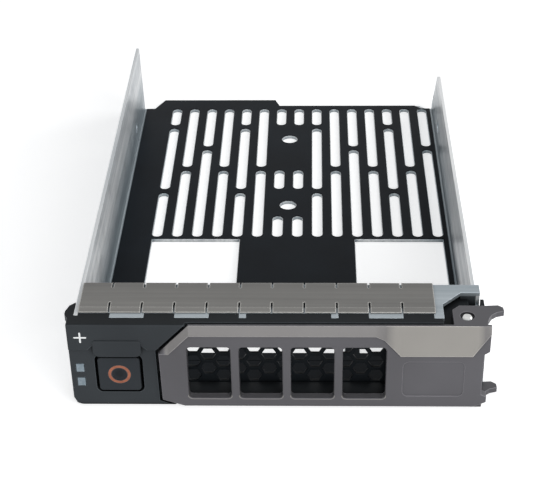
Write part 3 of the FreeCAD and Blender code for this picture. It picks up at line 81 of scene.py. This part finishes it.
class Nodes:
    """The node tree of a material or world, with short calls for the nodes used here."""

    def __init__(self, owner):
        owner.use_nodes = True
        self.owner = owner
        self.tree = owner.node_tree
        self.tree.nodes.clear()

    def add(self, kind, **settings):
        node = self.tree.nodes.new("ShaderNode" + kind)
        for key, value in settings.items():
            setattr(node, key, value)
        return node

    def link(self, source, target):
        self.tree.links.new(source, target)

    def place(self, scale=(1, 1, 1)):
        """Object coordinates, stretched by scale."""
        mapping = self.add("Mapping")
        mapping.inputs["Scale"].default_value = scale
        self.link(self.add("TexCoord").outputs["Object"], mapping.inputs["Vector"])
        return mapping.outputs["Vector"]

    def noise(self, vector, scale, detail, roughness=0.5):
        node = self.add("TexNoise")
        node.inputs["Scale"].default_value = scale
        node.inputs["Detail"].default_value = detail
        node.inputs["Roughness"].default_value = roughness
        self.link(vector, node.inputs["Vector"])
        return node.outputs["Fac"]

    def streaks(self, axis, along, across, detail, roughness=0.5):
        """Noise drawn out along one axis."""
        scale = [across] * 3
        scale[axis] = along
        return self.noise(self.place(scale), 1.0, detail, roughness)

    def ramp(self, factor, stops):
        """A colour ramp of (place, colour) stops."""
        node = self.add("ValToRGB")
        elements = node.color_ramp.elements
        while len(elements) < len(stops):
            elements.new(0.5)
        for element, (place, colour) in zip(elements, stops):
            element.position = place
            element.color = colour
        self.link(factor, node.inputs["Fac"])
        return node.outputs["Color"]

    def tones(self, factor, dark, light, start=0.3, end=0.7):
        """A ramp from one hex colour to another over the factor's start..end."""
        return self.ramp(factor, [(start, srgb(dark)), (end, srgb(light))])

    def span(self, factor, low, high, start=0.0, end=1.0):
        """Maps the factor's start..end to low..high."""
        node = self.add("MapRange")
        node.inputs["From Min"].default_value = start
        node.inputs["From Max"].default_value = end
        node.inputs["To Min"].default_value = low
        node.inputs["To Max"].default_value = high
        self.link(factor, node.inputs["Value"])
        return node.outputs["Result"]

    def bump(self, height, distance, strength, edge=0.0):
        """Bump from a height, on normals rounded over edges within `edge` metres."""
        node = self.add("Bump")
        node.inputs["Strength"].default_value = strength
        node.inputs["Distance"].default_value = distance
        self.link(height, node.inputs["Height"])
        if edge:
            bevel = self.add("Bevel", samples=6)
            bevel.inputs["Radius"].default_value = edge
            self.link(bevel.outputs["Normal"], node.inputs["Normal"])
        return node.outputs["Normal"]

    def painted_crevice_shade(self, reach, dark):
        """Painted shade: a factor that falls to `dark` in corners and gaps narrower than `reach`."""
        node = self.add("AmbientOcclusion", samples=8)
        node.inputs["Distance"].default_value = reach
        return self.span(node.outputs["AO"], dark, 1.0, start=0.35, end=0.92)

    def painted_fold_shade(self, reach, stops):
        """Painted shade: a tint by how much of the sky within `reach` the piece's own folds hide."""
        node = self.add("AmbientOcclusion", samples=12, only_local=True)
        node.inputs["Distance"].default_value = reach
        return self.ramp(node.outputs["AO"], stops)

    def painted_spot_shade(self, centre, radius, level):
        """Painted shade: a factor that falls to `level` within `radius` of a point."""
        node = self.add("VectorMath", operation="DISTANCE")
        self.link(self.add("TexCoord").outputs["Object"], node.inputs[0])
        node.inputs[1].default_value = centre
        return self.span(node.outputs["Value"], level, 1.0, start=0.35 * radius, end=radius)

    def normal_z(self):
        """How far a face looks up: 0 on an upright face, 1 on a level one."""
        split = self.add("SeparateXYZ")
        self.link(self.add("NewGeometry").outputs["Normal"], split.inputs["Vector"])
        return split.outputs["Z"]

    def painted_top_shade(self, upright, level):
        """Painted shade: a factor that goes from `upright` on steep faces to `level` on faces that
        look up.
        """
        return self.span(self.normal_z(), upright, level, start=0.6, end=0.95)

    def edges(self, width, flat, edge):
        """Painted highlight: a factor that rises from `flat` on plain faces to `edge` along edges of
        that width.
        """
        bevel = self.add("Bevel", samples=8)
        bevel.inputs["Radius"].default_value = width
        dot = self.add("VectorMath", operation="DOT_PRODUCT")
        self.link(bevel.outputs["Normal"], dot.inputs[0])
        self.link(self.add("NewGeometry").outputs["Normal"], dot.inputs[1])
        return self.span(dot.outputs["Value"], edge, flat, start=0.86, end=0.995)

    def times(self, colour, *factors):
        """The colour multiplied by each factor."""
        for factor in factors:
            kind = "MULTIPLY" if factor.type == "RGBA" else "SCALE"
            scale = self.add("VectorMath", operation=kind)
            self.link(colour, scale.inputs[0])
            self.link(factor, scale.inputs[1 if kind == "MULTIPLY" else "Scale"])
            colour = scale.outputs["Vector"]
        return colour

    def between(self, factor, first, second):
        """The first colour where the factor is 0, the second where it is 1."""
        mix = self.add("Mix", data_type="RGBA")
        colours = [socket for socket in mix.inputs if socket.type == "RGBA"]
        self.link(factor, mix.inputs["Factor"])
        self.link(first, colours[0])
        self.link(second, colours[1])
        return next(socket for socket in mix.outputs if socket.type == "RGBA")

    def shader(self, kind, **values):
        """A shader node with its sockets set."""
        node = self.add(kind)
        for key, value in values.items():
            node.inputs[key.replace("_", " ")].default_value = value
        return node

    def choose(self, factor, first, second):
        """The first shader where the factor is 0, the second where it is 1."""
        node = self.add("MixShader")
        for source, socket in zip((factor, first, second), node.inputs):
            self.link(source, socket)
        return node.outputs["Shader"]

    def seen(self):
        """1 for rays from the camera and those that gloss or glass sends on, else 0."""
        rays = self.add("LightPath").outputs
        found = rays["Is Camera Ray"]
        for kind in ("Is Glossy Ray", "Is Transmission Ray"):
            either = self.add("Math", operation="MAXIMUM")
            self.link(found, either.inputs[0])
            self.link(rays[kind], either.inputs[1])
            found = either.outputs["Value"]
        return found

    def output(self, shader, kind="OutputMaterial"):
        """Joins the shader to the output and gives back the material or world."""
        self.link(shader, self.add(kind).inputs["Surface"])
        return self.owner

    def surface(self, colour, roughness, normal, **values):
        """The Principled shader with its sockets set, joined to the output."""
        node = self.shader("BsdfPrincipled", **values)
        self.link(colour, node.inputs["Base Color"])
        self.link(roughness, node.inputs["Roughness"])
        self.link(normal, node.inputs["Normal"])
        return self.output(node.outputs["BSDF"])


def new_material(name):
    """The node tree of a new material."""
    return Nodes(bpy.data.materials.new(name))


# ---------------------------------------------------------------- materials

def moulded(name, dark, light, roughness, edge=0.2 * MM, dimple_shade=None):
    """Moulded plastic: a fine spark-eroded grain, faint cloudy tone and softened edges, with painted
    shade in corners and on faces that look up, and painted highlights along its edges.
    """
    n = new_material(name)
    place = n.place()
    cloud = n.noise(place, scale=28, detail=3)
    grain = n.noise(place, scale=2600, detail=2)
    # Painted shade in corners and on faces that look up; painted highlight along edges.
    colour = n.times(n.tones(cloud, dark, light), n.painted_crevice_shade(2.2 * MM, dark=0.25),
                     n.edges(1.5 * edge, flat=1.0, edge=2.6), n.painted_top_shade(upright=1.0, level=0.5))
    # Painted shade in the button's dimple.
    if dimple_shade:
        colour = n.times(colour, n.painted_spot_shade(*dimple_shade))
    rough = n.span(grain, roughness - 0.06, roughness + 0.06)
    return n.surface(colour, rough, n.bump(grain, 0.03 * MM, 0.4, edge),
                     IOR=1.45, Specular_IOR_Level=0.07)


def sheet_metal(name, dark, light, along, roughness=(0.3, 0.45), edge=0.15 * MM, rim=1.5, metal=0.75,
                fold_shade=None):
    """Galvanised sheet: rolling streaks along one axis over a soft mottling, with a painted highlight
    along its edges that `rim` sets and painted shade in its corners.
    """
    n = new_material(name)
    both = n.add("Math", operation="ADD")
    n.link(n.streaks(along, along=14, across=900, detail=5, roughness=0.62), both.inputs[0])
    n.link(n.streaks(along, along=5, across=130, detail=3), both.inputs[1])
    rolled = n.span(both.outputs["Value"], 0.0, 1.0, end=2.0)
    mottle = n.noise(n.place(), scale=160, detail=3)
    # Painted highlight along the edges and painted shade in the corners.
    colour = n.times(n.tones(rolled, dark, light, 0.34, 0.66), n.painted_crevice_shade(1.5 * MM, dark=0.5),
                     n.edges(1.5 * edge, flat=1.0, edge=rim))
    # Painted shade on the walls towards the floor, standing in for the dark film they reflect.
    if fold_shade:
        colour = n.times(colour, n.painted_fold_shade(*fold_shade))
    rough = n.span(mottle, *roughness, start=0.3, end=0.7)
    return n.surface(colour, rough, n.bump(rolled, 0.01 * MM, 0.35, edge), Metallic=metal)


def film(name):
    """Black insulating film with a satin face and a slight waviness."""
    n = new_material(name)
    wave = n.noise(n.place(), scale=45, detail=2)
    fine = n.noise(n.place(), scale=3000, detail=2)
    colour = n.tones(wave, "0d1116", "151b21")
    return n.surface(colour, n.span(fine, 0.38, 0.5), n.bump(wave, 0.12 * MM, 0.4),
                     Specular_IOR_Level=0.06)


def painted(name, face, lit_facet_tones):
    """Pewter paint with fine metal flakes; the leaning facets take lighter, warmer tones as a painted
    highlight, with painted shade in crevices and painted highlights along edges.
    """
    n = new_material(name)
    place = n.place()
    cloud = n.noise(place, scale=22, detail=3)
    flakes = n.noise(place, scale=5200, detail=2)
    none, part, full = grey(0), grey(0.38), grey(1)
    # Painted highlight: faces that lean up take the lighter facet tones, standing in for the light
    # they catch.
    painted_facet_highlight = n.ramp(n.normal_z(), [(0.03, none), (0.07, full), (0.12, full), (0.2, part),
                                 (0.36, part), (0.5, none)])
    colour = n.times(n.between(painted_facet_highlight, n.tones(cloud, *face), n.tones(cloud, *lit_facet_tones)),
                     n.painted_crevice_shade(1.8 * MM, dark=0.45), n.edges(0.3 * MM, flat=1.0, edge=2.3))
    return n.surface(colour, n.span(flakes, 0.36, 0.5), n.bump(flakes, 0.01 * MM, 0.2, 0.25 * MM),
                     Metallic=0.35, Specular_IOR_Level=0.3)


def turned(name, tone, roughness):
    """Bright steel wire or pin with fine drawing marks."""
    n = new_material(name)
    marks = n.noise(n.place((60, 60, 2400)), scale=1.0, detail=3)
    colour = n.tones(marks, tone, "dcdcda", end=0.8)
    return n.surface(colour, n.span(marks, roughness, roughness + 0.12),
                     n.bump(marks, 0.01 * MM, 0.3, 0.1 * MM), Metallic=1.0)


def frosted(name):
    """Clear plastic of a light pipe, frosted on its faces."""
    n = new_material(name)
    haze = n.noise(n.place(), scale=900, detail=3)
    colour = n.tones(haze, "76858f", "919fa8")
    return n.surface(colour, n.span(haze, 0.25, 0.45), n.bump(haze, 0.02 * MM, 0.4, 0.15 * MM),
                     Transmission_Weight=0.15, IOR=1.49)


def ring_paint(name):
    """Orange-brown paint of the ring in the button."""
    n = new_material(name)
    shade = n.noise(n.place(), scale=700, detail=3)
    colour = n.tones(shade, "84492f", "9c5d43")
    return n.surface(colour, n.span(shade, 0.35, 0.5), n.bump(shade, 0.01 * MM, 0.3, 0.15 * MM))


def white_print(name):
    """White printing ink, a little uneven."""
    n = new_material(name)
    shade = n.noise(n.place(), scale=1500, detail=3)
    colour = n.tones(shade, "d8dadb", "f4f5f5", 0.2, 0.8)
    return n.surface(colour, n.span(shade, 0.5, 0.65), n.bump(shade, 0.01 * MM, 0.3))


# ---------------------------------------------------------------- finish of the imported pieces

def dress(material, *nodes):
    """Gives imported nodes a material."""
    for node in nodes:
        slots = NODES[node].material_slots
        if not slots:
            NODES[node].data.materials.append(material)
        for slot in slots:
            slot.material = material


# Painted shade: the tray's walls are tinted dark and bluish towards the floor, standing in for the
# dark film they reflect, and stay bright at their tops.
WALL_REACH = 26 * MM
WALL_SHADE_TINTS = [(0.5, (0.6, 0.68, 0.72, 1)), (0.66, (0.47, 0.53, 0.57, 1)),
              (0.8, (0.6, 0.66, 0.69, 1)), (0.88, grey(1))]

# Painted shade: the button's dimple is darkened, standing in for the shade in its hollow.
ring_low, ring_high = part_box("button_ring")
DIMPLE = Vector(((ring_low.x + ring_high.x) / 2, ring_low.y, (ring_low.z + ring_high.z) / 2))
DIMPLE_RADIUS = 2.2 * MM
DIMPLE_PAINTED_SHADE = 0.55

black_bezel = moulded("black_bezel", "333639", "3d4144", 0.46)
black_grille = moulded("black_grille", "14171a", "1b1f22", 0.45, edge=0.1 * MM)

dress(sheet_metal("galvanised_sheet", "a6acb1", "eff0f0", Y, metal=0.5, fold_shade=(WALL_REACH, WALL_SHADE_TINTS)),
      "tray")
dress(sheet_metal("bridge_sheet", "8e979d", "adb5ba", X), "front_bridge")
# The gasket's bright front edge is a painted highlight.
dress(sheet_metal("gasket_strip", "686765", "7a7976", X, roughness=(0.4, 0.5), edge=0.3 * MM, rim=3.0,
                  metal=0.55),
      "emi_gasket")
dress(turned("rivet", "9a9c9c", 0.3), "bridge_rivets")
dress(turned("bright_pin", "b4b6b6", 0.18), "pivot_pin", "latch_pin")
dress(turned("spring_wire", "8e9092", 0.25), "handle_spring", "button_spring", "latch_spring")
dress(film("insulating_film"), "insulator_film", "front_film")
dress(black_bezel, "bezel")
dress(black_grille, "vent_grille")
dress(moulded("black_button", "2e3135", "363a3d", 0.42, dimple_shade=(DIMPLE, DIMPLE_RADIUS, DIMPLE_PAINTED_SHADE)),
      "release_button")
dress(moulded("grey_plastic", "2a2c2e", "35373a", 0.55), "spring_seat", "latch_cover")
dress(moulded("latch_grey", "6e7072", "7c7e80", 0.5), "latch_lever")
# The facet tones are a lit copy of the face paint.
dress(painted("pewter_paint", face=("515053", "5e5d61"), lit_facet_tones=("878480", "989590")), "handle")
dress(ring_paint("orange_ring"), "button_ring")
dress(frosted("frosted_pipe"), "light_pipe_activity", "light_pipe_status")


# ---------------------------------------------------------------- making objects

def add_object(name, data):
    """An object of this data, in the scene."""
    made = bpy.data.objects.new(name, data)
    bpy.context.scene.collection.objects.link(made)
    return made


def add_mesh(name, bm):
    """An object of the edited mesh, which is used up."""
    mesh = bpy.data.meshes.new(name)
    bm.to_mesh(mesh)
    bm.free()
    return add_object(name, mesh)


def on_circle(radius, degrees):
    """A point on a circle about the origin."""
    angle = math.radians(degrees)
    return radius * math.cos(angle), radius * math.sin(angle)


# ---------------------------------------------------------------- printed mark

MARK_REACH = 1.65 * MM
MARK_STROKE = 0.45 * MM
MARK_THICKNESS = 0.1 * MM
MARK_FROM_PIPE = 2.9 * MM
MARK_BELOW_TOP = 4.1 * MM
MARK_DEPTH = 0.33 * MM


def plus_mark(name, centre, reach, stroke, thickness):
    """A plain plus sign with round ends, lying on a face that looks along -Y."""
    half = stroke / 2
    arm = []
    for degrees in range(-90, 91, 30):
        along, across = on_circle(half, degrees)
        arm.append((across, reach - half + along))
    arm.append((half, half))
    outline = []
    for turn in range(4):
        c, s = on_circle(1, -90 * turn)
        outline += [(x * c - z * s, x * s + z * c) for x, z in arm]
    bm = bmesh.new()
    front, rear = ([bm.verts.new(centre + Vector((x, depth, z))) for x, z in outline]
                   for depth in (0, thickness))
    bm.faces.new(reversed(front))
    bm.faces.new(rear)
    for i in range(len(outline)):
        bm.faces.new((front[i - 1], front[i], rear[i], rear[i - 1]))
    return add_mesh(name, bm)


bezel_low, bezel_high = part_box("bezel")
pipe_low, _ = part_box("light_pipe_activity")
mark_centre = Vector((pipe_low.x + MARK_FROM_PIPE, bezel_low.y + MARK_DEPTH,
                      bezel_high.z - MARK_BELOW_TOP))
mark = plus_mark("status_mark", mark_centre, MARK_REACH, MARK_STROKE, MARK_THICKNESS)
mark.data.materials.append(white_print("white_ink"))
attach(mark, "root")


# ---------------------------------------------------------------- honeycomb

# The cells' spacing, the web between them, and the plain rim that they leave.
CELL_PITCH_X = 4.0 * MM
CELL_PITCH_Z = 4.62 * MM
CELL_WEB = 1.0 * MM
CELL_EDGE = 0.12 * MM
FIRST_CELL = Vector((3.5, 0, 3.46)) * MM
RIM_SIDE = 1.5 * MM
RIM_TOP = 1.2 * MM


def cell_centres(low, high, reach):
    """The cells' centres, in staggered columns that leave a rim at the right and the top."""
    first = low + FIRST_CELL
    column = 0
    while first.x + column * CELL_PITCH_X + reach < high.x - RIM_SIDE:
        z = first.z + (CELL_PITCH_Z / 2 if column % 2 else 0)
        while z + (CELL_PITCH_Z - CELL_WEB) / 2 < high.z - RIM_TOP:
            yield first.x + column * CELL_PITCH_X, z
            z += CELL_PITCH_Z
        column += 1


def honeycomb(name, low, high):
    """A plate with hexagonal cells and rounded edges, between two corners."""
    middle = (low + high) / 2
    curve = bpy.data.curves.new(name, "CURVE")
    curve.dimensions = "2D"
    curve.fill_mode = "BOTH"
    curve.bevel_depth = CELL_EDGE
    curve.bevel_resolution = 2
    curve.offset = -CELL_EDGE
    curve.extrude = (high.y - low.y) / 2 - CELL_EDGE

    def loop(points):
        spline = curve.splines.new("POLY")
        spline.points.add(len(points) - 1)
        for point, (x, z) in zip(spline.points, points):
            point.co = (x - middle.x, z - middle.z, 0, 1)
        spline.use_cyclic_u = True

    loop([(low.x, low.z), (high.x, low.z), (high.x, high.z), (low.x, high.z)])
    reach = (CELL_PITCH_Z - CELL_WEB) / math.sqrt(3)
    hexagon = [on_circle(reach, degrees) for degrees in range(0, 360, 60)]
    for x, z in cell_centres(low, high, reach):
        loop([(x + right, z + up) for right, up in hexagon])
    drawn = add_object(name + "_outline", curve)
    bpy.context.view_layer.update()
    mesh = bpy.data.meshes.new_from_object(drawn.evaluated_get(bpy.context.evaluated_depsgraph_get()))
    bpy.data.objects.remove(drawn)
    mesh.transform(Matrix.Translation(middle) @ Matrix.Rotation(math.radians(90), 4, "X"))
    mesh.name = name
    return add_object(name, mesh)


comb = honeycomb("honeycomb", *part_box("vent_grille"))
comb.data.materials.clear()
comb.data.materials.append(black_grille)
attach(comb, "root")
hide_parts("vent_grille")


# ---------------------------------------------------------------- claw pocket

# A dark plate put in the claw pocket as painted shade, hiding the light seen through it: how far its
# edges lie inside the bridge's right end, rear and top, and its height over the ground.
SHADE_PLATE_LEFT = 5.0 * MM
SHADE_PLATE_RIGHT = 1.15 * MM
SHADE_PLATE_FRONT = 4.0 * MM
SHADE_PLATE_REAR = 3.85 * MM
SHADE_PLATE_DROP = 1.05 * MM
SHADE_PLATE_FLOOR = 1.3 * MM


def plate(name, low, high):
    """A thin upright plate between two corners, with its edges broken."""
    bm = bmesh.new()
    bmesh.ops.create_cube(bm, size=1)
    extent = high - low
    for vert in bm.verts:
        vert.co = low + Vector([(vert.co[i] + 0.5) * extent[i] for i in range(3)])
    bmesh.ops.bevel(bm, geom=bm.edges, offset=min(extent) * 0.3, segments=2, affect="EDGES")
    return add_mesh(name, bm)


_, bridge_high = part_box("front_bridge")
# Painted shade: a dark plate standing in for the shade in the claw pocket.
shade_plate = plate("pocket_shade_plate",
               Vector((bridge_high.x - SHADE_PLATE_LEFT, bridge_high.y - SHADE_PLATE_FRONT, SHADE_PLATE_FLOOR)),
               bridge_high - Vector((SHADE_PLATE_RIGHT, SHADE_PLATE_REAR, SHADE_PLATE_DROP)))
shade_plate.data.materials.append(black_bezel)
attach(shade_plate, "root")


# ---------------------------------------------------------------- stage

FLOOR_WIDTH = 30 * SIZE
FLOOR_DROP = 0.1 * MM


def white_floor(name):
    """Pale floor whose lit part reads as white, which keeps the shadow and is clear from below."""
    n = new_material(name)
    matt = n.shader("BsdfDiffuse", Color=grey(0.62))
    shown = n.add("AddShader")
    n.link(n.shader("BsdfDiffuse", Color=grey(0.8)).outputs["BSDF"], shown.inputs[0])
    n.link(n.shader("Emission", Strength=0.6).outputs["Emission"], shown.inputs[1])
    above = n.choose(n.seen(), matt.outputs["BSDF"], shown.outputs["Shader"])
    below = n.add("BsdfTransparent").outputs["BSDF"]
    return n.output(n.choose(n.add("NewGeometry").outputs["Backfacing"], above, below))


def studio_world(name):
    """Soft light on the object, and plain white where the camera or a reflection looks past it."""
    n = Nodes(bpy.data.worlds.new(name))
    soft = n.shader("Background", Color=(0.94, 0.97, 1.0, 1), Strength=0.3)
    white = n.shader("Background", Color=grey(1), Strength=1.0)
    shown = n.choose(n.seen(), soft.outputs["Background"], white.outputs["Background"])
    return n.output(shown, "OutputWorld")


def softbox(name, place, width, height, power):
    """A large oblong lamp that faces the object's middle, at a place in metres from it."""
    data = bpy.data.lights.new(name, "AREA")
    data.shape = "RECTANGLE"
    data.size = width
    data.size_y = height
    data.energy = power
    lamp = add_object(name, data)
    lamp.location = CENTRE + Vector(place)
    lamp.rotation_euler = (CENTRE - lamp.location).to_track_quat("-Z", "Y").to_euler()


def add_camera(aim, distance, pitch, yaw, roll, lens):
    """A camera that looks at aim, pitched down, turned and rolled by the given degrees."""
    data = bpy.data.cameras.new("camera")
    data.lens = lens
    data.clip_start = 10 * MM
    down, turn = math.radians(pitch), math.radians(yaw)
    ahead = Vector((math.sin(turn) * math.cos(down), math.cos(turn) * math.cos(down),
                    -math.sin(down)))
    facing = ahead.to_track_quat("-Z", "Y").to_matrix().to_4x4()
    camera = add_object("camera", data)
    camera.matrix_world = (Matrix.Translation(aim - ahead * distance) @ facing
                           @ Matrix.Rotation(math.radians(roll), 4, "Z"))
    bpy.context.scene.camera = camera


bpy.ops.mesh.primitive_plane_add(size=FLOOR_WIDTH, location=(0, 0, LOW.z - FLOOR_DROP))
floor = bpy.context.object
floor.name = "floor"
floor.data.materials.append(white_floor("pale_floor"))

bpy.context.scene.world = studio_world("studio")
softbox("key", place=(0.45, -0.85, 0.5), width=0.7, height=0.5, power=6)
softbox("front", place=(-0.25, -0.95, 0.2), width=0.9, height=0.35, power=3)
softbox("side", place=(0.95, 0.25, 0.45), width=0.7, height=0.5, power=4)

add_camera(aim=LOW + Vector((0.476 * SPAN.x, 0.3237 * SPAN.y, 0.482 * SPAN.z)),
           distance=1.982 * SIZE, pitch=34.0, yaw=-1.67, roll=-0.88, lens=91.3)
bpy.context.scene.view_settings.view_transform = "Standard"
